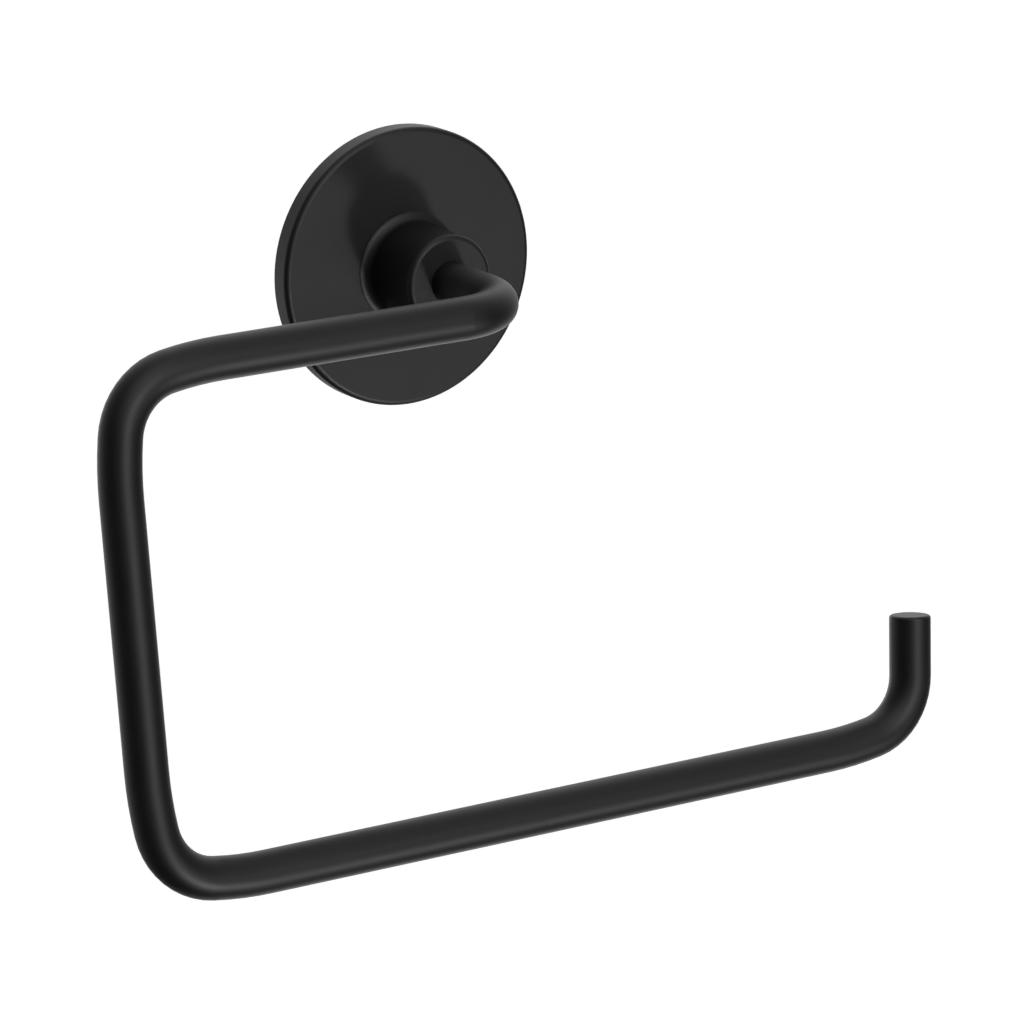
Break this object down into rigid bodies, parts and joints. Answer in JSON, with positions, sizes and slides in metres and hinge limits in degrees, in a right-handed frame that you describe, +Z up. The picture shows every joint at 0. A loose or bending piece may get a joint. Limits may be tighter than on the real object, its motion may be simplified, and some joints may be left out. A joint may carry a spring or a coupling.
{
  "type": "toilet roll holder",
  "caption": "Wall-mounted toilet roll holder: a round rosette with a short turned post carries a bent round rod, whose open loop ends in an upright tip that keeps the roll on.",
  "frame": {"origin": "centre of the rosette's back, on the wall plane, midway between the two wall screws", "axes": "+Z up, +Y into the wall, +X towards the open side of the loop"},
  "size_m": [0.1742, 0.0605, 0.1235],
  "materials": {
    "black_coat": "satin",
    "plated_steel": "satin",
    "screw_steel": "satin"
  },
  "bodies": {
    "root": {"roll_rod": "black_coat", "post": "black_coat", "rosette": "black_coat", "wall_plate": "plated_steel", "spigot": "plated_steel", "grub_screw": "screw_steel"}
  },
  "joints": []
}
